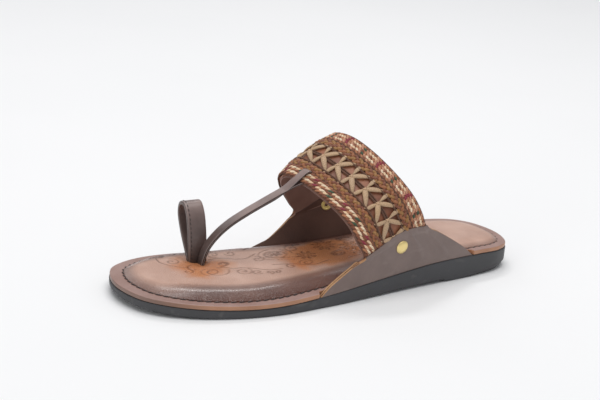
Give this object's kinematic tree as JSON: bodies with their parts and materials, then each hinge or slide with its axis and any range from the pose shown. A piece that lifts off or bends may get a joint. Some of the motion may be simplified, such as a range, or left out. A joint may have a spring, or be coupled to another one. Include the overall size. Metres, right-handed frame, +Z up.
{
  "type": "kolhapuri sandal",
  "caption": "Left kolhapuri sandal: rubber wedge sole, padded leather footbed, instep band between riveted leather wings, toe strap and big-toe ring.",
  "frame": {"origin": "on the floor, under the centre of the sandal's bounding box", "axes": "+X from heel to toe, +Y to the outer (little toe) side of the left foot, +Z up"},
  "size_m": [0.26, 0.0932, 0.0868],
  "materials": {
    "sole_rubber": "matt moulded black rubber",
    "board_leather": "mauve-brown leather with a tan cut edge",
    "footbed_leather": "polished tan leather, darker at the edges, with tooled lines",
    "upper_leather": "smooth taupe-brown leather under a braided band",
    "strap_leather": "smooth dark taupe leather, folded",
    "rivet_brass": "polished pale brass"
  },
  "bodies": {
    "root": {"outsole": "sole_rubber", "board": "board_leather", "footbed": "footbed_leather", "upper": "upper_leather", "toe_ring": "strap_leather", "rivet_outer": "rivet_brass", "rivet_inner": "rivet_brass"}
  },
  "joints": []
}
